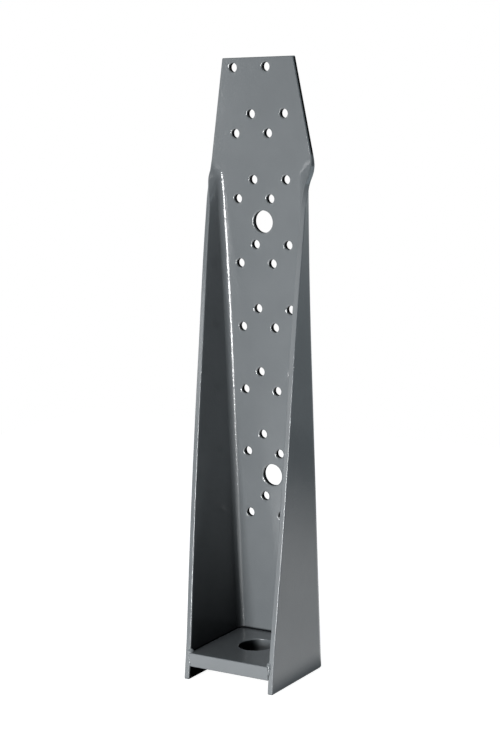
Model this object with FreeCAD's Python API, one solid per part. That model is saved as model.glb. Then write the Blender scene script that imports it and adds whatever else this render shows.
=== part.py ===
import FreeCAD, Part
import math
import os

# Hold down bracket: one folded steel channel that flares into a flat tab at its top,
# with a thick seat plate welded between its flanges a little above the bottom.
# Millimetres. Z is up, the open side faces -Y and the flat back faces +Y.
# The origin is under the middle of the part, at the level of the flange bottoms.

# Sheet and overall size
HEIGHT = 476.25
SHEET = 4.55
CHANNEL_WIDTH = 81.9
FLANGE_DEPTH = 78.9
BEND_INNER_RADIUS = 3.8

# Flat tab at the top: it starts at its widest and narrows to the top edge
TAB_LENGTH = 73.0
TAB_START_WIDTH = 89.8
TAB_TOP_WIDTH = 63.6

# How the flanges open: square at the seat, then leaning out more and more,
# and rolled out flat over the last stretch, which ends a little below the tab
SQUARE_ABOVE_SEAT = 9.0
LEAN_ANGLE = 9.6
LEAN_EASE_LENGTH = 6.0
FLARE_LENGTH = 158.0
FLARE_ANGLE = 14.0
ROLL_LENGTH = 38.0
ROLL_TOP_DROP = 6.0
BEND_LINE_OFFSET = 1.0
BEND_LINE_FLARE = 2.6
CREASE_LENGTH = 1.5

# Seat plate
SEAT_HEIGHT = 21.3
SEAT_THICKNESS = 11.0
SEAT_CORNER_RADIUS = 6.0
ANCHOR_HOLE = 28.6
ANCHOR_FROM_BACK = 36.3

# Holes in the web: rows of two, shifted sideways from row to row
SCREW_HOLE = 7.1
HOLE_COLUMN_STEP = 14.84
HOLE_ROW_PITCH = 50.0
SHIFTED_ROW_RISE = 14.7
TOP_ROW_DROP = 7.35
HOLE_ROWS = 8
BOLT_HOLE = 17.5
BOLT_HOLE_AFTER_ROWS = (3, 7)

# Weld beads that hold the seat plate: one under it along each flange,
# and one upright at the front of each end
WELD_LEG = 5.0
WELD_CROWN = 0.9
WELD_SET_BACK = 14.0
FRONT_BEAD_RADIUS = 2.2
FRONT_BEAD_PROUD = 0.8
FRONT_BEAD_OVERRUN = 0.8

# How far a cutting tool runs past the faces it cuts
CUT_OVERRUN = 1.0

# Steps along the height in each stretch of the flared faces
LEAN_LEVELS = 3
FLARE_LEVELS = 4
ROLL_LEVELS = 6

# Values that follow from the sizes above
tab_start = HEIGHT - TAB_LENGTH
roll_start = tab_start - ROLL_TOP_DROP - ROLL_LENGTH
flare_start = tab_start - FLARE_LENGTH
seat_bottom = SEAT_HEIGHT - SEAT_THICKNESS
square_top = SEAT_HEIGHT + SQUARE_ABOVE_SEAT
lean_height = tab_start - square_top
mid_radius = BEND_INNER_RADIUS + SHEET / 2
outer_radius = BEND_INNER_RADIUS + SHEET
square_bend_line = CHANNEL_WIDTH / 2 - outer_radius
inner_half_width = CHANNEL_WIDTH / 2 - SHEET
square_bend_length = mid_radius * math.pi / 2
bottom_blank_half = square_bend_line + square_bend_length + FLANGE_DEPTH - outer_radius
edge_slope = (bottom_blank_half - TAB_START_WIDTH / 2) / tab_start


def flare_share(z):
    """Square of the share of the flare that lies below the height z."""
    share = max(0.0, z - flare_start) / FLARE_LENGTH
    return share * share


def eased(rise):
    """A rise that sets in softly over the ease length."""
    return rise * rise / (rise + LEAN_EASE_LENGTH)


def lean(z):
    """Degrees that the flanges lean out of square before they roll out flat."""
    share = eased(max(0.0, z - square_top)) / eased(lean_height)
    return LEAN_ANGLE * share + FLARE_ANGLE * flare_share(z)


def bend_angle(z):
    """Angle in radians that the sheet is folded through at the height z."""
    share = min(1.0, max(0.0, (z - roll_start) / ROLL_LENGTH))
    return math.radians(90 - lean(z)) * math.cos(share * math.pi / 2)


def bend_line(z):
    """Half of the flat web's width at the height z."""
    spread = BEND_LINE_OFFSET * max(0.0, z - square_top) / lean_height
    return square_bend_line + spread + BEND_LINE_FLARE * flare_share(z)


def blank_half_width(z):
    """Half of the unfolded sheet's width at the height z, below the tab."""
    return bottom_blank_half - edge_slope * z


def fold(z):
    """Bend line, bend angle, middle radius, bend length and flat flange length at z."""
    angle = bend_angle(z)
    squareness = angle / (math.pi / 2)
    length = mid_radius * angle + CREASE_LENGTH * (1 - squareness)
    start = bend_line(z)
    return start, angle, length, blank_half_width(z) - start - length


def layer_points(z, depth):
    """Bend start, bend corner, bend end and free edge on the sheet's layer at a depth."""
    start, angle, length, flange = fold(z)
    corner = length / 2
    if angle > 1e-6:
        corner = (length / angle + SHEET / 2 - depth) * math.tan(angle / 2)
    across = FreeCAD.Vector(math.cos(angle), -math.sin(angle), 0)
    first = FreeCAD.Vector(start, -depth, z)
    turn = first + FreeCAD.Vector(corner, 0, 0)
    last = turn + across * corner
    return first, turn, last, last + across * flange


def mirrored(shape):
    """The same shape on the other side of the bracket."""
    return shape.mirror(FreeCAD.Vector(0, 0, 0), FreeCAD.Vector(1, 0, 0))


def opposite(point):
    """The same point on the other side of the bracket."""
    return FreeCAD.Vector(-point.x, point.y, point.z)


def spaced(first, last, count):
    """Heights at equal steps, without the first."""
    step = (last - first) / count
    return [first + step * (number + 1) for number in range(count)]


def knot_counts(levels, degree):
    """Knot multiplicities of a spline that ends on its first and last pole."""
    return [degree + 1] + [1] * (len(levels) - 2) + [degree + 1]


def pole_heights(levels, degree):
    """Heights of the poles for which the spline rises evenly through the levels."""
    knots = [levels[0]] * degree + levels[1:-1] + [levels[-1]] * degree
    count = len(knots) - degree + 1
    return [sum(knots[first:first + degree]) / degree for first in range(count)]


def rail(poles, levels, degree):
    """Smooth edge over poles that run up the bracket."""
    curve = Part.BSplineCurve()
    curve.buildFromPolesMultsKnots(poles, knot_counts(levels, degree), levels, False, degree)
    return curve.toShape()


def skin(columns, weights, levels, degree):
    """Smooth faces over columns of poles that run up the bracket: a bend comes as two halves."""
    across = len(columns) - 1
    counts = knot_counts(levels, degree)
    surface = Part.BSplineSurface()
    surface.buildFromPolesMultsKnots(
        columns, [across + 1] * 2, counts, [0, 1], levels, False, False, across, degree, weights
    )
    faces = []
    for number in range(across):
        strip = surface.copy()
        strip.segment(number / across, (number + 1) / across, levels[0], levels[-1])
        faces.append(strip.toShape())
    return faces


def side_skins(levels, degree):
    """Free-edge, bend and flange faces of the right side between the first and last level."""
    heights = pole_heights(levels, degree)
    back = list(zip(*[layer_points(z, 0) for z in heights]))
    front = list(zip(*[layer_points(z, SHEET) for z in heights]))
    even = [1.0] * len(heights)
    bent = [math.cos(bend_angle(z) / 2) for z in heights]
    faces = skin([back[3], front[3]], [even, even], levels, degree)
    for layer in (back, front):
        faces += skin(layer[:3], [even, bent, even], levels, degree)
        faces += skin(layer[2:], [even, even], levels, degree)
    return faces


def web_face(levels, degree, depth):
    """Flat face of the web between the two bend lines."""
    poles = [layer_points(z, depth)[0] for z in pole_heights(levels, degree)]
    right = rail(poles, levels, degree)
    bottom = Part.makeLine(opposite(poles[0]), poles[0])
    top = Part.makeLine(poles[-1], opposite(poles[-1]))
    return Part.Face(Part.Wire([bottom, right, top, mirrored(right)]))


def bend_edges(z, depth):
    """The two halves of the bend in the cross section at the height z."""
    bend = Part.BezierCurve()
    bend.setPoles(list(layer_points(z, depth)[:3]))
    bend.setWeight(2, math.cos(bend_angle(z) / 2))
    near = bend.copy()
    near.segment(0, 0.5)
    far = bend.copy()
    far.segment(0.5, 1)
    return [near.toShape(), far.toShape()]


def end_face(z):
    """Cross section of the folded sheet at the height z."""
    back = layer_points(z, 0)
    front = layer_points(z, SHEET)
    side = bend_edges(z, 0)
    side.append(Part.makeLine(back[2], back[3]))
    side.append(Part.makeLine(back[3], front[3]))
    side.append(Part.makeLine(front[3], front[2]))
    side += reversed(bend_edges(z, SHEET))
    web_back = Part.makeLine(opposite(back[0]), back[0])
    web_front = Part.makeLine(front[0], opposite(front[0]))
    other_side = [mirrored(edge) for edge in reversed(side)]
    return Part.Face(Part.Wire([web_back] + side + [web_front] + other_side))


def folded_stretch(levels, degree):
    """Closed solid of the folded sheet between the first and last level."""
    faces = side_skins(levels, degree)
    faces += [mirrored(face) for face in faces]
    faces += [web_face(levels, degree, depth) for depth in (0, SHEET)]
    faces += [end_face(levels[0]), end_face(levels[-1])]
    shell = Part.Shell(Part.makeCompound(faces).Faces)
    shell.sewShape()
    return Part.Solid(shell)


def folded_channel():
    """Channel from its bottom to the start of the tab: a square stretch and a flared one."""
    levels = [square_top]
    levels += spaced(square_top, flare_start, LEAN_LEVELS)
    levels += spaced(flare_start, roll_start, FLARE_LEVELS)
    levels += spaced(roll_start, tab_start, ROLL_LEVELS)
    return folded_stretch([0.0, square_top], 1), folded_stretch(levels, 3)


def flat_tab():
    """Flat tab above the channel, narrowing to the top edge."""
    outline = [
        FreeCAD.Vector(TAB_START_WIDTH / 2, 0, tab_start),
        FreeCAD.Vector(TAB_TOP_WIDTH / 2, 0, HEIGHT),
    ]
    outline += [opposite(point) for point in reversed(outline)]
    face = Part.Face(Part.makePolygon(outline + outline[:1]))
    return face.extrude(FreeCAD.Vector(0, -SHEET, 0))


def row_height(number):
    """Height of a main row of screw holes, counted from 1 at the top."""
    return HEIGHT - TOP_ROW_DROP - HOLE_ROW_PITCH * (number - 1)


def web_holes():
    """Cylinders for the screw holes and the two bolt holes."""
    outer = HOLE_COLUMN_STEP * 1.5
    inner = HOLE_COLUMN_STEP / 2
    places = []
    for number in range(1, HOLE_ROWS + 1):
        places += [(-outer, row_height(number)), (inner, row_height(number))]
        if number > 1:
            shifted = row_height(number) + SHIFTED_ROW_RISE
            places += [(-inner, shifted), (outer, shifted)]
    holes = [drill(x, z, SCREW_HOLE) for x, z in places]
    for gap in BOLT_HOLE_AFTER_ROWS:
        middle = (row_height(gap) + row_height(gap + 1) + SHIFTED_ROW_RISE) / 2
        holes.append(drill(0, middle, BOLT_HOLE))
    return holes


def drill(x, z, diameter):
    """Cylinder through the web."""
    start = FreeCAD.Vector(x, CUT_OVERRUN, z)
    length = SHEET + 2 * CUT_OVERRUN
    return Part.makeCylinder(diameter / 2, length, start, FreeCAD.Vector(0, -1, 0))


def make_body():
    """Folded sheet with all its holes."""
    square_part, flared_part = folded_channel()
    body = square_part.fuse([flared_part, flat_tab()]).removeSplitter()
    return body.cut(web_holes())


def free_edge_depth(z):
    """Depth of the flange's free edge behind which the seat plate ends."""
    return -layer_points(z, 0)[3].y


def make_seat():
    """Thick plate between the flanges, with the anchor hole."""
    front = free_edge_depth(seat_bottom)
    depth = front - SHEET
    plate = Part.makeBox(2 * inner_half_width, depth, SEAT_THICKNESS)
    plate.translate(FreeCAD.Vector(-inner_half_width, -front, seat_bottom))
    back_edges = []
    for edge in plate.Edges:
        centre = edge.CenterOfMass
        upright = abs(centre.z - seat_bottom - SEAT_THICKNESS / 2) < 1e-6
        if upright and centre.y > -front + depth / 2:
            back_edges.append(edge)
    plate = plate.makeFillet(SEAT_CORNER_RADIUS, back_edges)
    start = FreeCAD.Vector(0, -ANCHOR_FROM_BACK, seat_bottom - CUT_OVERRUN)
    hole = Part.makeCylinder(ANCHOR_HOLE / 2, SEAT_THICKNESS + 2 * CUT_OVERRUN, start)
    return plate.cut(hole)


def make_seat_weld(side):
    """Bead in the corner under the seat plate, along one flange, with a slightly round face."""
    corner = FreeCAD.Vector(side * inner_half_width, 0, seat_bottom)
    foot = corner - FreeCAD.Vector(0, 0, WELD_LEG)
    reach = corner - FreeCAD.Vector(side * WELD_LEG, 0, 0)
    outward = FreeCAD.Vector(-side, 0, -1).normalize()
    crown = (foot + reach) * 0.5 + outward * WELD_CROWN
    profile = Part.Wire([
        Part.makeLine(reach, corner),
        Part.makeLine(corner, foot),
        Part.Arc(foot, crown, reach).toShape(),
    ])
    back = SHEET + SEAT_CORNER_RADIUS
    length = free_edge_depth(seat_bottom) - WELD_SET_BACK - back
    bead = Part.Face(profile).extrude(FreeCAD.Vector(0, -length, 0))
    bead.translate(FreeCAD.Vector(0, -back, 0))
    return bead


def make_front_weld(body, seat, side):
    """Upright bead that fills the front corner between the seat plate and one flange."""
    sunk = FRONT_BEAD_RADIUS - FRONT_BEAD_PROUD
    wall = side * inner_half_width
    top = SEAT_HEIGHT + FRONT_BEAD_OVERRUN
    foot = FreeCAD.Vector(wall, sunk - free_edge_depth(seat_bottom), seat_bottom)
    head = FreeCAD.Vector(wall, sunk - free_edge_depth(top), top)
    rise = head - foot
    bead = Part.makeCylinder(FRONT_BEAD_RADIUS, rise.Length, foot, rise)
    bead = bead.fuse(Part.makeSphere(FRONT_BEAD_RADIUS, head))
    below = Part.makeBox(SEAT_THICKNESS, SEAT_THICKNESS, SEAT_THICKNESS)
    below.translate(foot - FreeCAD.Vector(SEAT_THICKNESS / 2, SEAT_THICKNESS / 2, SEAT_THICKNESS))
    return bead.cut([below, body, seat]).removeSplitter()


def export(name, shape):
    """Write one piece, moved so that the origin is under the part's middle."""
    placed = shape.copy()
    placed.translate(FreeCAD.Vector(0, FLANGE_DEPTH / 2, 0))
    placed.exportStep("parts/" + name + ".step")


def main():
    os.makedirs("parts", exist_ok=True)
    body = make_body()
    seat = make_seat()
    export("body", body)
    export("seat_plate", seat)
    for name, side in (("left", -1), ("right", 1)):
        export(name + "_seat_weld", make_seat_weld(side))
        export(name + "_front_weld", make_front_weld(body, seat, side))


main()
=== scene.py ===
import math

import bpy
import numpy as np
from mathutils import Matrix, Vector
from mathutils.geometry import delaunay_2d_cdt


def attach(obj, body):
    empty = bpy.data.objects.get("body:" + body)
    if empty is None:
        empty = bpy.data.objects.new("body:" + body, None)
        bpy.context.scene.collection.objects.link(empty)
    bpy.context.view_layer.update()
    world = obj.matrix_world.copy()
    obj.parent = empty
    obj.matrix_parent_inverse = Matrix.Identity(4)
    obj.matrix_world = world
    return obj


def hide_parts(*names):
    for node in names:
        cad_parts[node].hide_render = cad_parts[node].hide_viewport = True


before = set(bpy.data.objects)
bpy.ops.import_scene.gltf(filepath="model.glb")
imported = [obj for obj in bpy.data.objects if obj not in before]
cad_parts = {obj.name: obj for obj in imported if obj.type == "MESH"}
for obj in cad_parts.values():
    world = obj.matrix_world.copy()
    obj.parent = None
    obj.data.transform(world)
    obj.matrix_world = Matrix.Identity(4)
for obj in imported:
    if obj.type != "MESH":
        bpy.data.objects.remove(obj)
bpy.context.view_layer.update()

# Hold down bracket, dressed: the folded sheet, the seat plate and the weld beads are worked out
# again as fine smooth surfaces with rounded edges, and get a glossy grey paint.
# Metres, Z up, the open side of the channel faces -Y.
MM = 0.001

# Folded sheet, the same sizes as the solids but for a slightly rounder bend; angles in degrees
HEIGHT = 476.25 * MM
SHEET = 4.55 * MM
CHANNEL_WIDTH = 81.9 * MM
FLANGE_DEPTH = 78.9 * MM
BEND_INNER_RADIUS = 5.2 * MM
TAB_LENGTH = 73.0 * MM
TAB_START_WIDTH = 89.8 * MM
TAB_TOP_WIDTH = 63.6 * MM
TAB_TOP_RIM = 3.5 * MM
SQUARE_ABOVE_SEAT = 9.0 * MM
LEAN_ANGLE = 9.6
LEAN_EASE_LENGTH = 6.0 * MM
FLARE_LENGTH = 158.0 * MM
FLARE_ANGLE = 14.0
ROLL_LENGTH = 38.0 * MM
ROLL_TOP_DROP = 6.0 * MM
ROLL_SOFTNESS = 4.0 * MM
CREASE_END_DROP = 11.0 * MM
CREASE_HOLD = 8
CREASE_LENGTH = 1.5 * MM
BEND_LINE_OFFSET = 1.0 * MM
BEND_LINE_FLARE = 2.6 * MM

# Seat plate
SEAT_HEIGHT = 21.3 * MM
SEAT_THICKNESS = 11.0 * MM
SEAT_CORNER_RADIUS = 6.0 * MM
SEAT_FRONT_RADIUS = 0.3 * MM
ANCHOR_HOLE = 28.6 * MM
ANCHOR_FROM_BACK = 36.3 * MM

# Holes in the web
SCREW_HOLE = 7.1 * MM
HOLE_COLUMN_STEP = 14.84 * MM
HOLE_ROW_PITCH = 50.0 * MM
SHIFTED_ROW_RISE = 14.7 * MM
TOP_ROW_DROP = 7.35 * MM
HOLE_ROWS = 8
BOLT_HOLE = 17.5 * MM
BOLT_HOLE_AFTER_ROWS = (3, 7)

# Weld beads: the front ones stand upright, the seat ones lie under the plate
FRONT_BEAD_RADIUS = 2.2 * MM
FRONT_BEAD_PROUD = 0.8 * MM
FRONT_BEAD_OVERRUN = 0.8 * MM
FRONT_BEAD_CAP = 0.9 * FRONT_BEAD_RADIUS
RIGHT_BEAD_RISE = 3.6 * MM
WELD_LEG = 5.0 * MM
WELD_SET_BACK = 14.0 * MM
SEAT_BEAD_INSET = 0.22 * WELD_LEG
SEAT_BEAD_RADIUS = 0.62 * WELD_LEG
SEAT_BEAD_SPREAD = 1.15
RIPPLE_PITCH = 2.1 * MM
RIPPLE_SHARE = 0.055
RIPPLE_CURVE = 0.45 * RIPPLE_PITCH
# Slow waves on a bead: share of its radius, pace next to the ripple's, turns round the bead
SLOW_WAVES = ((0.05, 3.1 / 7, 2), (0.04, 1.7 / 5, -1))

# Small roundings that the paint leaves on the cut edges, and the drawn-in rims of punched holes
SHEET_EDGE_ROUND = 0.8 * MM
SHEET_END_SHRINK = 0.9
SEAT_EDGE_ROUND = 0.7 * MM
HOLE_RIM_WIDTH = 1.4 * MM
HOLE_RIM_DEPTH = 0.5 * MM

# Fineness of the surfaces
WEB_COLUMNS = 3
BEND_COLUMNS = 20
FLANGE_COLUMNS = 12
CORNER_COLUMNS = 4
RIM_COLUMNS = 8
ROW_STEP = 4.0 * MM
ROLL_ROW_STEP = 1.2 * MM
ROLL_SAMPLES = 9
SLOPE_STEP = 0.2 * MM
SCREW_HOLE_POINTS = 36
BOLT_HOLE_POINTS = 64
ANCHOR_HOLE_POINTS = 96
SEAT_CORNER_POINTS = 13
SEAT_FRONT_POINTS = 5
BEAD_POINTS = 28
BEAD_STEP = 0.25 * MM
SHORTEST_BEAD = 40
MERGE_MM = 1e-5

# Paint: two greys that cloud into each other, and the heights of its bumps in metres
PAINT_DARK = (0.116, 0.128, 0.136)
PAINT_LIGHT = (0.1255, 0.138, 0.1465)
# Colour of the painted shade in the joints, up the inside of the flanges, in cut walls and in the anchor
# bore
PAINTED_SHADE_DARK = (0.006, 0.007, 0.008, 1)
# Painted light: the weld beads' paint is a lighter copy of the same grey
WELD_PAINTED_LIGHT = 1.1
PAINT_ROUGH = (0.37, 0.48)
PAINT_SHEEN = 0.25
COAT = 0.9
COAT_ROUGH = 0.09
PEEL = 0.00008
PLATE_PEEL = 0.6 * PEEL
WELD_PEEL = 1.2 * PEEL
GRAIN_TO_PEEL = 0.35
WAVE = 0.0001
PLATE_WAVE = 0.5 * WAVE
BEND_GRAIN = 0.00013

# Noises: scale and detail, and the part of their range that is used
CLOUD_NOISE = (38, 3)
WAVE_NOISE = (55, 2)
PEEL_NOISE = (620, 2)
BEND_NOISE = (900, 1)
GRAIN_NOISE = (1500, 2)
NOISE_SPAN = (0.3, 0.7)

# Masks: from where a share is none to where it is full, measured from the base in the fade call
# Painted shade on the sheet: a dark line above the plate, a long shade up the inside of the flanges, and
# dark cut walls
SEAM_ABOVE_PLATE = (2.2 * MM, 0.6 * MM)
SHADE_ABOVE_PLATE = (190 * MM, -60 * MM)
SHADE_NEAR_FLANGE = (-4.5 * MM, -0.5 * MM)
FLANGE_INNER_SKIN = (2.5 * MM, 1.5 * MM)
WEB_INNER_SKIN = (1.6 * MM, 0.8 * MM)
BEHIND_FREE_EDGE = (0.9 * MM, 1.6 * MM)
HOLES_ACROSS = (32 * MM, 31 * MM)
TAB_ONWARDS = (-2 * MM, 0.0)
WALL_PAST_FRONT = (1.0 * MM, 1.7 * MM)
WALL_BEFORE_BACK = (-0.2 * MM, -0.6 * MM)
WALL_BELOW_TOP = (-0.3 * MM, -1.2 * MM)
BEND_ACROSS = (31.5 * MM, 33 * MM)
BEND_BEFORE_WEB = (-7 * MM, -4 * MM)
BEND_BELOW_TAB = (0.0, -20 * MM)
# Painted shade on the plate: along its sides and back, and in the left half of the anchor bore
PLATE_SEAM = (-0.8 * MM, -0.3 * MM)
PLATE_BEHIND_FRONT = (3 * MM, 4 * MM)
BORE_WALL = (1.0 * MM, 0.6 * MM)
BORE_LEFT = (-3 * MM, -11 * MM)
# Painted shade that takes the floor's glow out under the bracket
FLOOR_SHADE = (-4 * MM, 26 * MM)

# Camera, at the photograph's angle
CAMERA_PLACE = (0.75603, -1.12320, 0.47901)
CAMERA_AZIMUTH = math.radians(33.739)
CAMERA_ELEVATION = math.radians(10.186)
CAMERA_ROLL = math.radians(-2.257)
FOCAL_PIXELS = 1799.4
IMAGE_HEIGHT = 754
SENSOR = 36.0

# Room and floor: how bright the gloss sees them, and where
WHITE = (1, 1, 1, 1)
ROOM = 0.04
ROOM_TINT = (0.88, 0.96, 1.0, 1)
BACKDROP_GLOW = 0.45
BACKDROP_DIRECTION = (-0.55, 0.83, 0.0)
BACKDROP_SPREAD = (-0.2, 0.8)
FLOOR_HALF = 0.8
FLOOR_GREY = (0.5, 0.5, 0.5, 1)
FLOOR_ROUGH = 0.9
FLOOR_LIFT = 0.9
FLOOR_GLOSS = (0.85, 1.6)
FRONT_LEFT = (-0.56, -0.83, 0.0)
FRONT_LEFT_SPREAD = (-0.2, 0.2)
FLOOR_GLOSS_REACH = (0.25, 0.78)

# Lamps: height they look at, azimuth and elevation in degrees, distance, size, watts, tint
PLAIN_LIGHT = (1, 1, 1)
COOL_LIGHT = (0.78, 0.92, 1.0)
LAMPS = {
    "key_softbox": (0.20, -5, 0, 1.5, (0.48, 0.4), 27, PLAIN_LIGHT),
    "right_fill": (HEIGHT / 2, 100, 12, 2.0, (0.9, 1.4), 7.8, COOL_LIGHT),
    "low_fill": (SEAT_HEIGHT * 2, -7, 10, 0.5, (0.18, 0.14), 0.4, PLAIN_LIGHT),
    "top_fill": (0.1, -5, 75, 1.3, (0.5, 0.5), 2.2, PLAIN_LIGHT),
    "edge_fill": (0.25, -46, 12, 1.5, (0.42, 0.5), 1.9, PLAIN_LIGHT),
}

# Values that follow
back_face = FLANGE_DEPTH / 2
web_front = back_face - SHEET
tab_start = HEIGHT - TAB_LENGTH
roll_top = tab_start - ROLL_TOP_DROP
roll_start = roll_top - ROLL_LENGTH
crease_top = tab_start - CREASE_END_DROP
flare_start = tab_start - FLARE_LENGTH
seat_bottom = SEAT_HEIGHT - SEAT_THICKNESS
square_top = SEAT_HEIGHT + SQUARE_ABOVE_SEAT
lean_height = tab_start - square_top
mid_radius = BEND_INNER_RADIUS + SHEET / 2
outer_radius = BEND_INNER_RADIUS + SHEET
square_bend_line = CHANNEL_WIDTH / 2 - outer_radius
inner_half_width = CHANNEL_WIDTH / 2 - SHEET
bottom_blank_half = square_bend_line + mid_radius * math.pi / 2 + FLANGE_DEPTH - outer_radius
edge_slope = (bottom_blank_half - TAB_START_WIDTH / 2) / tab_start


def eased(rise):
    """A rise that sets in softly: rise squared over rise plus the ease length."""
    return rise * rise / (rise + LEAN_EASE_LENGTH)


def flare_share(z):
    """Square of the share of the flare below the height z, 1 at the tab and above."""
    return (np.clip(z - flare_start, 0, FLARE_LENGTH) / FLARE_LENGTH) ** 2


def square_less_lean(z):
    """Radians from the web to the flange at z, before the flange rolls out."""
    lean = LEAN_ANGLE * eased(np.clip(z - square_top, 0, lean_height)) / eased(lean_height)
    return np.radians(90 - lean - FLARE_ANGLE * flare_share(z))


def bend_angle(z):
    """Radians of the fold at z: square less the lean, times a quarter cosine over the roll.

    The cosine is averaged over a short stretch, so that the roll runs softly into the flat tab.
    """
    shifts = np.linspace(-ROLL_SOFTNESS, ROLL_SOFTNESS, ROLL_SAMPLES)
    shares = [np.clip((z + shift - roll_start) / ROLL_LENGTH, 0, 1) for shift in shifts]
    return square_less_lean(z) * np.mean(np.cos(np.array(shares) * math.pi / 2), axis=0)


def fold_angle(z):
    """Radians of the crease itself: it stays sharp for longer, and ends below the tab's start.

    Over its last stretch, at the share s, it is scaled by 1 - s^n * (1 + n * (1 - s)), n the hold.
    """
    share = np.clip((z - roll_start) / (crease_top - roll_start), 0, 1)
    return square_less_lean(z) * (1 - share ** CREASE_HOLD * (1 + CREASE_HOLD * (1 - share)))


def blank_half_width(z):
    """Half width of the unfolded sheet: a straight taper to the tab, then the tab's own taper."""
    below = bottom_blank_half - edge_slope * z
    share = np.clip((z - tab_start) / TAB_LENGTH, 0, 1)
    tab = (TAB_START_WIDTH + share * (TAB_TOP_WIDTH - TAB_START_WIDTH)) / 2
    return np.where(z < tab_start, below, tab)


def bend_start(z):
    """Half width of the flat web: it spreads up to the tab, there it closes in on the tab's edge."""
    spread = BEND_LINE_OFFSET * np.clip(z - square_top, 0, lean_height) / lean_height
    start = square_bend_line + spread + BEND_LINE_FLARE * flare_share(z)
    share = np.clip((z - tab_start) / TAB_LENGTH, 0, 1)
    return start + share * (TAB_TOP_WIDTH / 2 - TAB_TOP_RIM - start)


def half_layer(z, inset, front):
    """Right half of one layer of the sheet, rows by columns, and its outward normals in the plane.

    Along a row the middle of the sheet runs straight over the web, turns by the fold angle over
    the bend, and turns on evenly over the flange, so that the flange's chord has the bend angle.
    A stretch s that turns evenly by t ends s * sin(t / 2) / (t / 2) away, at half that turn. The
    layer lies half a sheet off the middle, and a quarter circle leads into the free edge. Where
    an end row is drawn in by an inset, that quarter circle is almost gone.
    """
    z = z[:, None]
    inset = inset[:, None]
    fold = fold_angle(z)
    edge = 2 * bend_angle(z) - fold
    length = mid_radius * fold + CREASE_LENGTH * (1 - fold / (math.pi / 2))
    start = bend_start(z)
    rounding = SHEET_EDGE_ROUND - SHEET_END_SHRINK * inset
    flange = blank_half_width(z) - start - length
    reach = flange - inset - rounding

    web_x = start * np.linspace(0, 1, WEB_COLUMNS + 1)[1:-1]
    bend_turn = np.linspace(0, 1, BEND_COLUMNS + 1) * fold
    bend_run = np.linspace(0, 1, BEND_COLUMNS + 1) * length
    bend_run = bend_run * np.sinc(bend_turn / 2 / math.pi)
    bend_x = start + bend_run * np.cos(bend_turn / 2)
    bend_y = -bend_run * np.sin(bend_turn / 2)
    share = np.linspace(0, 1, FLANGE_COLUMNS + 1)[1:] * reach / flange
    flange_turn = (edge - fold) * share
    flange_run = flange * share * np.sinc(flange_turn / 2 / math.pi)
    flange_x = bend_x[:, -1:] + flange_run * np.cos(fold + flange_turn / 2)
    flange_y = bend_y[:, -1:] - flange_run * np.sin(fold + flange_turn / 2)

    turn = np.concatenate([0 * web_x, bend_turn, fold + flange_turn], axis=1)
    middle_x = np.concatenate([web_x, bend_x, flange_x], axis=1)
    middle_y = np.concatenate([0 * web_x, bend_y, flange_y], axis=1) - SHEET / 2
    side = -1.0 if front else 1.0
    normals = side * np.stack([np.sin(turn), np.cos(turn)], axis=-1)
    points = np.stack([middle_x, middle_y], axis=-1) + normals * (SHEET / 2 - inset)[..., None]

    corner = np.linspace(0, math.pi / 2, CORNER_COLUMNS + 1)[1:]
    along = side * np.stack([normals[:, -1:, 1], -normals[:, -1:, 0]], axis=-1)
    turned_in = np.sin(corner)[None, :, None]
    turned_down = (1 - np.cos(corner))[None, :, None]
    shift = along * turned_in - normals[:, -1:] * turned_down
    last = points[:, -1:] + shift * rounding[..., None]
    last_normals = normals[:, -1:] * (1 - turned_down) + along * turned_in
    return np.concatenate([points, last], axis=1), np.concatenate([normals, last_normals], axis=1)


def section_loop(z, inset):
    """Closed loop of the section in each row: front layer left to right, back layer right to left."""
    loops = []
    facings = []
    mirror = np.array([-1.0, 1.0])
    for front in (True, False):
        points, normals = half_layer(z, inset, front)
        middle = points[:, :1] * np.array([0.0, 1.0])
        middle_normal = np.zeros_like(middle) + np.array([0.0, -1.0 if front else 1.0])
        whole = np.concatenate([points[:, ::-1] * mirror, middle, points], axis=1)
        facing = np.concatenate([normals[:, ::-1] * mirror, middle_normal, normals], axis=1)
        way = 1 if front else -1
        loops.append(whole[:, ::way])
        facings.append(facing[:, ::way])
    return np.concatenate(loops, axis=1), np.concatenate(facings, axis=1)


def sheet_rows():
    """Heights, insets and upward slants of the rows: a quarter circle at each end, steps between."""
    turn = np.linspace(0, math.pi / 2, CORNER_COLUMNS + 1)[:-1]
    rise = SHEET_EDGE_ROUND * (1 - np.cos(turn))
    inset = SHEET_EDGE_ROUND * (1 - np.sin(turn))
    marks = [SHEET_EDGE_ROUND, square_top, flare_start, roll_start, roll_top, tab_start,
             HEIGHT - SHEET_EDGE_ROUND]
    steps = [ROW_STEP, ROW_STEP, ROW_STEP, ROLL_ROW_STEP, ROLL_ROW_STEP, ROW_STEP]
    middle = [np.array([marks[0]])]
    for low, high, step in zip(marks, marks[1:], steps):
        count = math.ceil((high - low) / step)
        middle.append(np.linspace(low, high, count + 1)[1:])
    middle = np.concatenate(middle)
    heights = np.concatenate([rise, middle, (HEIGHT - rise)[::-1]])
    insets = np.concatenate([inset, 0 * middle, inset[::-1]])
    slants = np.concatenate([-np.cos(turn), 0 * middle, np.cos(turn)[::-1]])
    return heights, insets, slants


def grid_faces(rows, columns, closed):
    """Quads between neighbouring rows and columns of a grid of vertex numbers."""
    numbers = np.arange(rows * columns).reshape(rows, columns)
    if closed:
        numbers = np.concatenate([numbers, numbers[:, :1]], axis=1)
    corners = [numbers[:-1, :-1], numbers[:-1, 1:], numbers[1:, 1:], numbers[1:, :-1]]
    return np.stack(corners, axis=-1)


def row_height(number):
    """Height of a main row of screw holes, counted from 1 at the top."""
    return HEIGHT - TOP_ROW_DROP - HOLE_ROW_PITCH * (number - 1)


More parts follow.
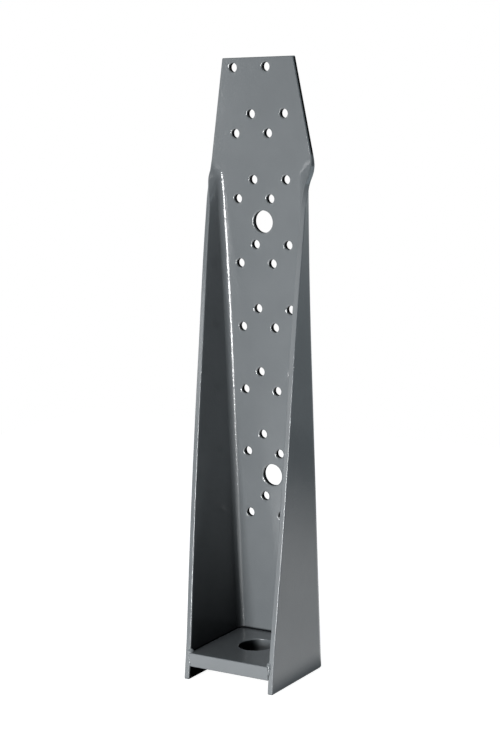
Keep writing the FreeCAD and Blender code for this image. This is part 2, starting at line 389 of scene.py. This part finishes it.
def web_holes():
    """Centres and radii of the screw holes and the two bolt holes, across and up the web."""
    outer = HOLE_COLUMN_STEP * 1.5
    inner = HOLE_COLUMN_STEP / 2
    holes = []
    for number in range(1, HOLE_ROWS + 1):
        height = row_height(number)
        holes += [(-outer, height, SCREW_HOLE / 2), (inner, height, SCREW_HOLE / 2)]
        if number > 1:
            height += SHIFTED_ROW_RISE
            holes += [(-inner, height, SCREW_HOLE / 2), (outer, height, SCREW_HOLE / 2)]
    for gap in BOLT_HOLE_AFTER_ROWS:
        middle = (row_height(gap) + row_height(gap + 1) + SHIFTED_ROW_RISE) / 2
        holes.append((0.0, middle, BOLT_HOLE / 2))
    return holes


def fill_flat(outline, holes, rim, counts):
    """Triangles that fill a flat outline around round holes with a rim of their own.

    The triangles number the outline's points first, then those of each hole's circle.
    """
    loops = [outline]
    for (across, up, radius), count in zip(holes, counts):
        turn = np.arange(count) * 2 * math.pi / count
        loops.append(np.stack([across + (radius + rim) * np.cos(turn),
                               up + (radius + rim) * np.sin(turn)], axis=-1))
    places = np.concatenate(loops)
    edges = []
    first = 0
    for loop in loops:
        numbers = np.arange(len(loop)) + first
        edges += np.stack([numbers, np.roll(numbers, -1)], axis=-1).tolist()
        first += len(loop)
    corners = [Vector(place) for place in (places / MM).tolist()]
    result = delaunay_2d_cdt(corners, edges, [], 0, MERGE_MM)
    order = np.array([ids[0] for ids in result[3]])
    faces = order[np.array(result[2])]
    middles = places[faces].mean(axis=1)
    keep = inside(middles, outline)
    for across, up, radius in holes:
        away = np.hypot(middles[:, 0] - across, middles[:, 1] - up)
        keep &= away > radius + rim / 2
    return faces[keep]


def inside(points, outline):
    """Which points lie inside an outline: an odd number of its edges lies to their right."""
    ahead = np.roll(outline, -1, axis=0)
    low = outline[None, :, 1] > points[:, None, 1]
    high = ahead[None, :, 1] > points[:, None, 1]
    rise = ahead[:, 1] - outline[:, 1]
    slope = (ahead[:, 0] - outline[:, 0]) / np.where(rise == 0, 1, rise)
    cross = outline[None, :, 0] + (points[:, None, 1] - outline[None, :, 1]) * slope[None, :]
    return (((low != high) & (points[:, None, 0] < cross)).sum(axis=1) % 2) == 1


def bore_rings(across, up, radius, width, drop, depth, count):
    """Rings of a bore from its first face to its second, with both rims turned over.

    Rows of points (across, up, depth below the first face) and of outward normals. A rim is a
    quarter ellipse: the radius is radius + width * (1 - sin(t)), the depth drop * (1 - cos(t)).
    """
    turn = np.linspace(0, math.pi / 2, RIM_COLUMNS + 1)
    radii = radius + width * (1 - np.sin(turn))
    depths = drop * (1 - np.cos(turn))
    tilt = np.arctan2(np.sin(turn) / width, np.cos(turn) / drop)
    radii = np.concatenate([radii, radii[::-1]])
    depths = np.concatenate([depths, depth - depths[::-1]])
    inward = np.concatenate([np.sin(tilt), np.sin(tilt)[::-1]])
    outward = np.concatenate([-np.cos(tilt), np.cos(tilt)[::-1]])
    around = np.arange(count) * 2 * math.pi / count
    points = np.stack([across + radii[:, None] * np.cos(around),
                       up + radii[:, None] * np.sin(around),
                       depths[:, None] + 0 * around], axis=-1)
    normals = np.stack([-inward[:, None] * np.cos(around),
                        -inward[:, None] * np.sin(around),
                        outward[:, None] + 0 * around], axis=-1)
    return points, normals


def put_mesh(name, points, faces, normals):
    """Object from points, a list of face arrays and one outward normal for each point."""
    used = np.unique(np.concatenate([part.reshape(-1) for part in faces]))
    numbers = np.zeros(len(points), int)
    numbers[used] = np.arange(len(used))
    mesh = bpy.data.meshes.new(name)
    listed = []
    for part in faces:
        listed += numbers[part].tolist()
    mesh.from_pydata(points[used].tolist(), [], listed)
    mesh.update()
    mesh.shade_smooth()
    facing = normals[used]
    facing = facing / np.linalg.norm(facing, axis=1, keepdims=True)
    mesh.normals_split_custom_set_from_vertices(facing.tolist())
    piece = bpy.data.objects.new(name, mesh)
    bpy.context.scene.collection.objects.link(piece)
    return piece


def sheet_skin():
    """Points and outward normals of the folded sheet: section loops stacked over the height.

    The normal is square to the loop and to the way the same spot moves from height to height.
    In the rounded end rows it is turned up or down by the row's slant.
    """
    heights, insets, slants = sheet_rows()
    loop, flat_normals = section_loop(heights, insets)
    rows, columns = loop.shape[:2]
    level = np.broadcast_to(heights[:, None, None], (rows, columns, 1))
    points = np.concatenate([loop, level], axis=2)
    points[..., 1] += back_face
    above = section_loop(heights + SLOPE_STEP, insets)[0]
    below = section_loop(heights - SLOPE_STEP, insets)[0]
    climb = np.concatenate([(above - below) / (2 * SLOPE_STEP), np.ones((rows, columns, 1))], axis=2)
    across, outward = flat_normals[..., 0], flat_normals[..., 1]
    along = np.stack([-outward, across, 0 * across], axis=-1)
    normals = np.cross(along, climb)
    normals /= np.linalg.norm(normals, axis=2, keepdims=True)
    slant = slants[:, None, None]
    return points, normals * np.sqrt(1 - slant * slant) + slant * np.array([0.0, 0.0, 1.0])


def folded_sheet():
    """The folded sheet: its skin closed at both ends, with a flat web that is bored through."""
    points, normals = sheet_skin()
    rows, columns = points.shape[:2]
    layer = columns // 2
    side = BEND_COLUMNS + FLANGE_COLUMNS + CORNER_COLUMNS
    first_row = CORNER_COLUMNS
    last_row = rows - 1 - CORNER_COLUMNS
    skin = np.ones((rows - 1, columns), bool)
    for start in (side, layer + side):
        skin[first_row:last_row, start:start + layer - 1 - 2 * side] = False
    faces = [grid_faces(rows, columns, closed=True)[skin]]
    numbers = np.arange(rows * columns).reshape(rows, columns)
    for row, flip in ((0, 1), (rows - 1, -1)):
        front = numbers[row, :layer]
        back = numbers[row, ::-1][:layer]
        cap = np.stack([front[:-1], back[:-1], back[1:], front[1:]], axis=-1)
        faces.append(cap[:, ::flip])

    left, right = side, layer - 1 - side
    edge = np.concatenate([
        numbers[first_row, left:right],
        numbers[first_row:last_row, right],
        numbers[last_row, left + 1:right + 1][::-1],
        numbers[first_row + 1:last_row + 1, left][::-1],
    ])
    all_points = [points.reshape(-1, 3)]
    all_normals = [normals.reshape(-1, 3)]
    front_of = [edge]
    back_of = [columns - 1 - edge % columns + (edge // columns) * columns]
    holes = web_holes()
    counts = [BOLT_HOLE_POINTS if radius > SCREW_HOLE else SCREW_HOLE_POINTS for _, _, radius in holes]
    fill = fill_flat(all_points[0][edge][:, [0, 2]], holes, HOLE_RIM_WIDTH, counts)
    first = rows * columns
    for hole, count in zip(holes, counts):
        rings, facing = bore_rings(*hole, HOLE_RIM_WIDTH, HOLE_RIM_DEPTH, SHEET, count)
        rings[..., 2] += web_front
        faces.append(grid_faces(len(rings), count, closed=True).reshape(-1, 4) + first)
        front_of.append(np.arange(count) + first)
        back_of.append(np.arange(count) + first + (len(rings) - 1) * count)
        all_points.append(rings[..., [0, 2, 1]].reshape(-1, 3))
        all_normals.append(facing[..., [0, 2, 1]].reshape(-1, 3))
        first += len(rings) * count
    faces.append(np.concatenate(front_of)[fill])
    faces.append(np.concatenate(back_of)[fill][:, ::-1])
    return put_mesh("folded_sheet", np.concatenate(all_points), faces, np.concatenate(all_normals))


def free_edge_depth(z):
    """Depth of the flange's free edge behind the back face."""
    points = half_layer(np.array([z]), np.array([0.0]), False)[0]
    return -points[0, :, 1].min()


def quarter_turn(count):
    """Directions (cos, sin) over a quarter turn."""
    turn = np.linspace(0, math.pi / 2, count)
    return np.stack([np.cos(turn), np.sin(turn)], axis=-1)


def seat_outline(inset):
    """Outline of the seat plate and its normals, drawn in by an inset, with rounded corners."""
    front = back_face - free_edge_depth(seat_bottom) + inset
    back = web_front - inset
    half = inner_half_width - inset
    radius = SEAT_CORNER_RADIUS - inset
    back_out = quarter_turn(SEAT_CORNER_POINTS)
    back_corner = np.array([half - radius, back - radius]) + radius * back_out
    front_out = quarter_turn(SEAT_FRONT_POINTS)[::-1] * np.array([1.0, -1.0])
    front_corner = np.array([half - SEAT_FRONT_RADIUS, front + SEAT_FRONT_RADIUS])
    right = np.concatenate([front_corner + SEAT_FRONT_RADIUS * front_out, back_corner])
    facing = np.concatenate([front_out, back_out])
    mirror = np.array([-1.0, 1.0])
    return (np.concatenate([right, right[::-1] * mirror]),
            np.concatenate([facing, facing[::-1] * mirror]))


def seat_plate():
    """Thick plate with rounded edges and the anchor hole: outline rings from bottom to top."""
    turn = np.linspace(0, math.pi / 2, CORNER_COLUMNS + 1)
    lifts = SEAT_EDGE_ROUND * (1 - np.cos(turn))
    insets = SEAT_EDGE_ROUND * (1 - np.sin(turn))
    slants = np.cos(turn)
    heights = np.concatenate([seat_bottom + lifts, (SEAT_HEIGHT - lifts)[::-1]])
    insets = np.concatenate([insets, insets[::-1]])
    slants = np.concatenate([-slants, slants[::-1]])
    points = []
    normals = []
    for height, inset, slant in zip(heights, insets, slants):
        outline, facing = seat_outline(inset)
        level = np.ones((len(outline), 1))
        points.append(np.concatenate([outline, level * height], axis=1))
        normals.append(np.concatenate([facing * math.sqrt(1 - slant * slant), level * slant], axis=1))
    count = len(points[0])
    faces = [grid_faces(len(heights), count, closed=True).reshape(-1, 4)]
    hole = (0.0, back_face - ANCHOR_FROM_BACK, ANCHOR_HOLE / 2)
    fill = fill_flat(points[-1][:, :2], [hole], SEAT_EDGE_ROUND, [ANCHOR_HOLE_POINTS])
    rings, facing = bore_rings(*hole, SEAT_EDGE_ROUND, SEAT_EDGE_ROUND, SEAT_THICKNESS,
                               ANCHOR_HOLE_POINTS)
    first = count * len(heights)
    upper_ring = np.arange(ANCHOR_HOLE_POINTS) + first
    lower_ring = upper_ring + ANCHOR_HOLE_POINTS * (len(rings) - 1)
    top = np.concatenate([np.arange(count) + first - count, upper_ring])
    bottom = np.concatenate([np.arange(count), lower_ring])
    faces.append(grid_faces(len(rings), ANCHOR_HOLE_POINTS, closed=True).reshape(-1, 4) + first)
    faces.append(top[fill])
    faces.append(bottom[fill][:, ::-1])
    rings[..., 2] = SEAT_HEIGHT - rings[..., 2]
    facing[..., 2] *= -1
    points.append(rings.reshape(-1, 3))
    normals.append(facing.reshape(-1, 3))
    return put_mesh("thick_seat_plate", np.concatenate(points), faces, np.concatenate(normals))


def bead(name, start, end, radius, flatness, spread):
    """Weld bead along a straight run, closed by a pole at each end.

    Within a radius of an end, the bead's radius follows a quarter circle down to the pole. It is
    also scaled by one plus a small ripple that repeats at the welder's pitch, and plus two slow
    waves that make it look hand-laid. The ripple's phase is shifted by the cosine of the turn
    round the bead, which bends the ripples into crescents.
    """
    run = Vector(end) - Vector(start)
    along = np.array(run.normalized())
    across = np.cross(along, flatness)
    across = across / np.linalg.norm(across)
    up = np.cross(across, along)
    share = np.linspace(0, 1, max(SHORTEST_BEAD, int(run.length / BEAD_STEP)))[:, None]
    ends = np.minimum(share, 1 - share) * run.length / radius
    swell = np.sqrt(np.clip(1 - (1 - np.clip(ends, 0, 1)) ** 2, 0, 1))
    around = (np.arange(BEAD_POINTS) * 2 * math.pi / BEAD_POINTS)[None, :]
    phase = 2 * math.pi * (share * run.length + RIPPLE_CURVE * np.cos(around)) / RIPPLE_PITCH
    wander = sum(swing * np.sin(pace * phase + turns * around) for swing, pace, turns in SLOW_WAVES)
    size = radius * swell * (1 + RIPPLE_SHARE * np.sin(phase) + wander)
    middle = np.array(start) + share * np.array(run)
    ring = (np.cos(around) * size)[..., None] * up + (np.sin(around) * size * spread)[..., None] * across
    points = (middle[:, None, :] + ring)[1:-1]
    rows, columns = points.shape[:2]
    last = rows * columns
    low = np.arange(columns)
    high = low + last - columns
    faces = [grid_faces(rows, columns, closed=True).reshape(-1, 4),
             np.stack([np.full(columns, last), np.roll(low, -1), low], axis=-1),
             np.stack([np.full(columns, last + 1), high, np.roll(high, -1)], axis=-1)]
    climb = np.gradient(points, axis=0)
    turned = np.roll(points, -1, axis=1) - np.roll(points, 1, axis=1)
    normals = np.cross(turned, climb).reshape(-1, 3)
    outward = (points - middle[1:-1, None, :]).reshape(-1, 3)
    if (normals * outward).sum() < 0:
        normals = -normals
        faces = [part[:, ::-1] for part in faces]
    all_points = np.concatenate([points.reshape(-1, 3), middle[:1], middle[-1:]])
    return put_mesh(name, all_points, faces, np.concatenate([normals, [-along], [along]]))


def front_bead(name, side, foot_rise):
    """Upright bead in the front corner between the seat plate and one flange."""
    sunk = FRONT_BEAD_RADIUS - FRONT_BEAD_PROUD
    top = SEAT_HEIGHT + FRONT_BEAD_OVERRUN
    low = seat_bottom + foot_rise
    wall = side * inner_half_width
    foot = (wall, back_face + sunk - free_edge_depth(low), low)
    head = (wall, back_face + sunk - free_edge_depth(top), top + FRONT_BEAD_CAP)
    return bead(name, foot, head, FRONT_BEAD_RADIUS, (0.0, 1.0, 0.0), 1.0)


def seat_bead(name, side):
    """Bead in the corner under the seat plate, along one flange."""
    front = back_face - free_edge_depth(seat_bottom) + WELD_SET_BACK
    back = web_front - SEAT_CORNER_RADIUS
    wall = side * (inner_half_width - SEAT_BEAD_INSET)
    height = seat_bottom - SEAT_BEAD_INSET
    return bead(name, (wall, front, height), (wall, back, height), SEAT_BEAD_RADIUS,
                (side * 1.0, 0.0, 1.0), SEAT_BEAD_SPREAD)


def add(tree, kind, inputs, **settings):
    """New shader node with its settings; each input takes a number or another node's output."""
    node = tree.nodes.new("ShaderNode" + kind)
    for name, setting in settings.items():
        setattr(node, name, setting)
    for socket, value in inputs.items():
        if isinstance(value, bpy.types.NodeSocket):
            tree.links.new(value, node.inputs[socket])
        else:
            node.inputs[socket].default_value = value
    return node


def object_place(tree):
    """The shaded point in the object's own metres."""
    return add(tree, "TexCoord", {}).outputs["Object"]


def worked(tree, operation, *values):
    """One math operation on one to three values."""
    return add(tree, "Math", dict(enumerate(values)), operation=operation).outputs["Value"]


def combined(tree, operation, first, *others):
    """Values combined one after the other by a math operation."""
    for value in others:
        first = worked(tree, operation, first, value)
    return first


def carried(tree, value, span, to, kind="LINEAR"):
    """A value carried from one span to another, held at the ends."""
    inputs = {"Value": value, "From Min": span[0], "From Max": span[1], "To Min": to[0], "To Max": to[1]}
    return add(tree, "MapRange", inputs, interpolation_type=kind).outputs["Result"]


def fade(tree, value, base, span):
    """Smooth share of a value: 0 before the span and 1 after it, the span measured from a base."""
    return carried(tree, value, (base + span[0], base + span[1]), (0.0, 1.0), "SMOOTHSTEP")


def noise(tree, scale, detail):
    """Noise over the object's own metres."""
    inputs = {"Vector": object_place(tree), "Scale": scale, "Detail": detail}
    return add(tree, "TexNoise", inputs).outputs["Fac"]


def bumped(tree, height, distance, before=None, strength=1.0):
    """Bump of a height, on top of an earlier bump."""
    inputs = {"Height": height, "Distance": distance, "Strength": strength}
    if before is not None:
        inputs["Normal"] = before
    return add(tree, "Bump", inputs).outputs["Normal"]


def new_material(name):
    """Material and its empty node tree."""
    material = bpy.data.materials.new(name)
    material.use_nodes = True
    material.node_tree.nodes.clear()
    return material, material.node_tree


def finish_material(tree, inputs):
    """The shader with its inputs, and the output."""
    shader = add(tree, "BsdfPrincipled", inputs)
    add(tree, "OutputMaterial", {"Surface": shader.outputs["BSDF"]})


def place_values(tree):
    """The shaded point's place from left to right, depth and height."""
    return add(tree, "SeparateXYZ", {"Vector": object_place(tree)}).outputs


def sheet_shade(tree):
    """Where painted shade darkens the sheet: down in the joint with the plate, and in the cut walls.

    The joint is painted shade: a dark line round the plate and a long fading shade up the inside of the
    flanges. It keeps off the free edges, which fall back by the edge slope, and off the outer faces. The
    cut walls get painted shade too: the bores of the holes and the sides of the tab, but not its top
    edge.
    """
    place = place_values(tree)
    across = worked(tree, "ABSOLUTE", place["X"])
    depth, height = place["Y"], place["Z"]
    # Painted shade in the joint: a dark line above the plate and a long shade up the inside of the
    # flanges
    near = fade(tree, height, SEAT_HEIGHT, SEAM_ABOVE_PLATE)
    above = fade(tree, height, SEAT_HEIGHT, SHADE_ABOVE_PLATE)
    on_flange = fade(tree, across, inner_half_width, SHADE_NEAR_FLANGE)
    shade = combined(tree, "MAXIMUM", near, combined(tree, "MULTIPLY", above, on_flange))
    inner = fade(tree, across, inner_half_width, FLANGE_INNER_SKIN)
    from_edge = worked(tree, "MULTIPLY_ADD", height, -edge_slope, depth)
    behind = fade(tree, from_edge, -back_face, BEHIND_FREE_EDGE)
    ahead = fade(tree, depth, web_front, WEB_INNER_SKIN)
    joint = combined(tree, "MULTIPLY", shade, inner, behind, ahead)

    # Painted shade in the cut walls of the holes and on the tab's sides
    bores = fade(tree, across, 0.0, HOLES_ACROSS)
    on_tab = fade(tree, height, tab_start, TAB_ONWARDS)
    cut = combined(tree, "MAXIMUM", bores, on_tab)
    past_front = fade(tree, depth, web_front, WALL_PAST_FRONT)
    before_back = fade(tree, depth, back_face, WALL_BEFORE_BACK)
    below_top = fade(tree, height, HEIGHT, WALL_BELOW_TOP)
    wall = combined(tree, "MULTIPLY", cut, past_front, before_back, below_top)
    return combined(tree, "MAXIMUM", joint, wall)


def bend_skin(tree, before):
    """Coarser skin over the inside of the bends, where the sheet was stretched."""
    place = place_values(tree)
    across = worked(tree, "ABSOLUTE", place["X"])
    outward = fade(tree, across, 0.0, BEND_ACROSS)
    near_web = fade(tree, place["Y"], web_front, BEND_BEFORE_WEB)
    low = fade(tree, place["Z"], tab_start, BEND_BELOW_TAB)
    bend = combined(tree, "MULTIPLY", outward, near_web, low)
    return bumped(tree, noise(tree, *BEND_NOISE), BEND_GRAIN, before, bend)


def plate_shade(tree):
    """Where painted shade darkens the plate: along its sides and back, and in the bore's left half."""
    place = place_values(tree)
    across = worked(tree, "ABSOLUTE", place["X"])
    # Painted shade along the plate's joints with the sheet, and in the anchor bore's left half
    side = fade(tree, across, inner_half_width, PLATE_SEAM)
    back = fade(tree, place["Y"], web_front, PLATE_SEAM)
    behind = fade(tree, place["Y"], -back_face, PLATE_BEHIND_FRONT)
    joint = combined(tree, "MULTIPLY", combined(tree, "MAXIMUM", side, back), behind)
    middle = (0.0, back_face - ANCHOR_FROM_BACK, SEAT_HEIGHT - SEAT_THICKNESS / 2)
    away = add(tree, "VectorMath", {0: object_place(tree), 1: middle}, operation="DISTANCE")
    bore = fade(tree, away.outputs["Value"], ANCHOR_HOLE / 2, BORE_WALL)
    left = fade(tree, place["X"], 0.0, BORE_LEFT)
    return combined(tree, "MAXIMUM", joint, combined(tree, "MULTIPLY", bore, left))


def grey_paint(name, peel, wave, lift, shade=None, stretched=None):
    """Glossy grey paint: a little cloudiness in the colour, slow waves, orange peel, fine grain.

    The lift scales the colour; for the welds it is painted light, a lighter copy of the same paint.
    Shade is a function for the share of painted shade, where the paint turns dark and loses its coat and
    sheen, and stretched one for a coarser skin where the metal was drawn out.
    """
    material, tree = new_material(name)
    tone = add(tree, "ValToRGB", {"Fac": noise(tree, *CLOUD_NOISE)})
    for stop, position, colour in zip(tone.color_ramp.elements, NOISE_SPAN, (PAINT_DARK, PAINT_LIGHT)):
        stop.position = position
        stop.color = tuple(lift * part for part in colour) + (1,)
    grain = noise(tree, *GRAIN_NOISE)
    skin = bumped(tree, noise(tree, *WAVE_NOISE), wave)
    skin = bumped(tree, noise(tree, *PEEL_NOISE), peel, skin)
    if stretched:
        skin = stretched(tree, skin)
    inputs = {
        "Base Color": tone.outputs["Color"],
        "Roughness": carried(tree, grain, NOISE_SPAN, PAINT_ROUGH),
        "Normal": bumped(tree, grain, peel * GRAIN_TO_PEEL, skin),
        "Coat Normal": skin,
        "Coat Roughness": COAT_ROUGH,
        "Coat Weight": COAT,
        "Specular IOR Level": PAINT_SHEEN,
    }
    if shade:
        # Painted shade: the paint turns dark and loses its coat and sheen
        painted_shade = shade(tree)
        mix = add(tree, "Mix", {"Factor": painted_shade, 6: tone.outputs["Color"], 7: PAINTED_SHADE_DARK},
                  data_type="RGBA")
        inputs["Base Color"] = mix.outputs[2]
        inputs["Coat Weight"] = carried(tree, painted_shade, (0.0, 1.0), (COAT, 0.0))
        inputs["Specular IOR Level"] = carried(tree, painted_shade, (0.0, 1.0), (PAINT_SHEEN, 0.0))
    finish_material(tree, inputs)
    return material


def add_camera():
    """Camera that looks back along the solved direction, with the solved roll."""
    level = math.cos(CAMERA_ELEVATION)
    back = Vector((math.sin(CAMERA_AZIMUTH) * level, -math.cos(CAMERA_AZIMUTH) * level,
                   math.sin(CAMERA_ELEVATION)))
    right = Vector((math.cos(CAMERA_AZIMUTH), math.sin(CAMERA_AZIMUTH), 0))
    up = back.cross(right)
    rolled_right = math.cos(CAMERA_ROLL) * right + math.sin(CAMERA_ROLL) * up
    rolled_up = -math.sin(CAMERA_ROLL) * right + math.cos(CAMERA_ROLL) * up
    turn = Matrix((rolled_right, rolled_up, back)).transposed()
    data = bpy.data.cameras.new("camera")
    data.sensor_width = SENSOR
    data.lens = FOCAL_PIXELS * SENSOR / IMAGE_HEIGHT
    camera = bpy.data.objects.new("camera", data)
    camera.matrix_world = Matrix.Translation(CAMERA_PLACE) @ turn.to_4x4()
    bpy.context.scene.collection.objects.link(camera)
    bpy.context.scene.camera = camera


def add_softbox(name, aim_height, azimuth, elevation, distance, size, strength, tint):
    """Soft rectangular lamp that looks at the bracket at a height; azimuth from -Y towards +X."""
    turn = math.radians(azimuth)
    rise = math.radians(elevation)
    away = Vector((math.sin(turn) * math.cos(rise), -math.cos(turn) * math.cos(rise), math.sin(rise)))
    data = bpy.data.lights.new(name, "AREA")
    data.shape = "RECTANGLE"
    data.size, data.size_y = size
    data.energy = strength
    data.color = tint
    lamp = bpy.data.objects.new(name, data)
    lamp.location = Vector((0, 0, aim_height)) + away * distance
    lamp.rotation_euler = away.to_track_quat("Z", "Y").to_euler()
    bpy.context.scene.collection.objects.link(lamp)


def add_world():
    """White behind the object for the camera; for light and gloss a quiet room, paler at the back."""
    world = bpy.data.worlds.new("studio")
    world.use_nodes = True
    tree = world.node_tree
    tree.nodes.clear()
    direction = add(tree, "TexCoord", {}).outputs["Generated"]
    behind = add(tree, "VectorMath", {0: direction, 1: BACKDROP_DIRECTION}, operation="DOT_PRODUCT")
    glow = carried(tree, behind.outputs["Value"], BACKDROP_SPREAD, (ROOM, BACKDROP_GLOW), "SMOOTHSTEP")
    room = add(tree, "Background", {"Color": ROOM_TINT, "Strength": glow})
    seen = add(tree, "Background", {"Color": WHITE, "Strength": 1.0})
    by_camera = add(tree, "LightPath", {}).outputs["Is Camera Ray"]
    mix = add(tree, "MixShader", {"Fac": by_camera, 1: room.outputs["Background"],
                                  2: seen.outputs["Background"]})
    add(tree, "OutputWorld", {"Surface": mix.outputs["Shader"]})
    bpy.context.scene.world = world


def add_floor():
    """Pale floor that keeps the bracket's soft shadow.

    The camera sees it lifted to white. Gloss sees a painted reflection: a ring of glow round the bracket
    that is stronger at the front left, fades out away from it, and is taken out as painted shade under
    it.
    """
    mesh = bpy.data.meshes.new("floor")
    corners = [(-FLOOR_HALF, -FLOOR_HALF, 0), (FLOOR_HALF, -FLOOR_HALF, 0),
               (FLOOR_HALF, FLOOR_HALF, 0), (-FLOOR_HALF, FLOOR_HALF, 0)]
    mesh.from_pydata(corners, [], [(0, 1, 2, 3)])
    floor = bpy.data.objects.new("floor", mesh)
    bpy.context.scene.collection.objects.link(floor)
    material, tree = new_material("pale_floor")
    point = object_place(tree)
    away = add(tree, "VectorMath", {0: point}, operation="LENGTH").outputs["Value"]
    ahead = add(tree, "VectorMath", {0: point, 1: FRONT_LEFT}, operation="DOT_PRODUCT").outputs["Value"]
    ring = carried(tree, away, FLOOR_GLOSS_REACH, (1.0, 0.0), "SMOOTHSTEP")
    strength = carried(tree, ahead, FRONT_LEFT_SPREAD, FLOOR_GLOSS, "SMOOTHSTEP")
    place = place_values(tree)
    beside = fade(tree, worked(tree, "ABSOLUTE", place["X"]), CHANNEL_WIDTH / 2, FLOOR_SHADE)
    past = fade(tree, worked(tree, "ABSOLUTE", place["Y"]), back_face, FLOOR_SHADE)
    outside_painted_shade = combined(tree, "MAXIMUM", beside, past)
    path = add(tree, "LightPath", {}).outputs
    # Painted reflection: the floor glows for gloss rays only, with painted shade under the bracket
    gloss = combined(tree, "MULTIPLY", path["Is Glossy Ray"], ring, strength, outside_painted_shade)
    finish_material(tree, {
        "Base Color": FLOOR_GREY,
        "Roughness": FLOOR_ROUGH,
        "Emission Color": WHITE,
        "Emission Strength": worked(tree, "MULTIPLY_ADD", path["Is Camera Ray"], FLOOR_LIFT, gloss),
    })
    floor.data.materials.append(material)


sheet_paint = grey_paint("grey_paint_on_sheet", PEEL, WAVE, 1.0, sheet_shade, bend_skin)
plate_paint = grey_paint("grey_paint_on_plate", PLATE_PEEL, PLATE_WAVE, 1.0, plate_shade)
# The weld paint is lifted as painted light
weld_paint = grey_paint("grey_paint_on_weld", WELD_PEEL, WAVE, WELD_PAINTED_LIGHT)

PIECES = [
    (folded_sheet(), "body", "painted_sheet", sheet_paint),
    (seat_plate(), "seat_plate", "painted_plate", plate_paint),
    (front_bead("left_front_bead", -1, 0.0), "left_front_weld", "painted_weld", weld_paint),
    (front_bead("right_front_bead", 1, RIGHT_BEAD_RISE), "right_front_weld", "painted_weld", weld_paint),
    (seat_bead("left_seat_bead", -1), "left_seat_weld", "painted_weld", weld_paint),
    (seat_bead("right_seat_bead", 1), "right_seat_weld", "painted_weld", weld_paint),
]
for piece, node, slot, paint in PIECES:
    piece.data.materials.append(paint)
    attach(piece, "root")
    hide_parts(node)

add_camera()
add_world()
add_floor()
for name, settings in LAMPS.items():
    add_softbox(name, *settings)
bpy.context.scene.view_settings.view_transform = "Standard"
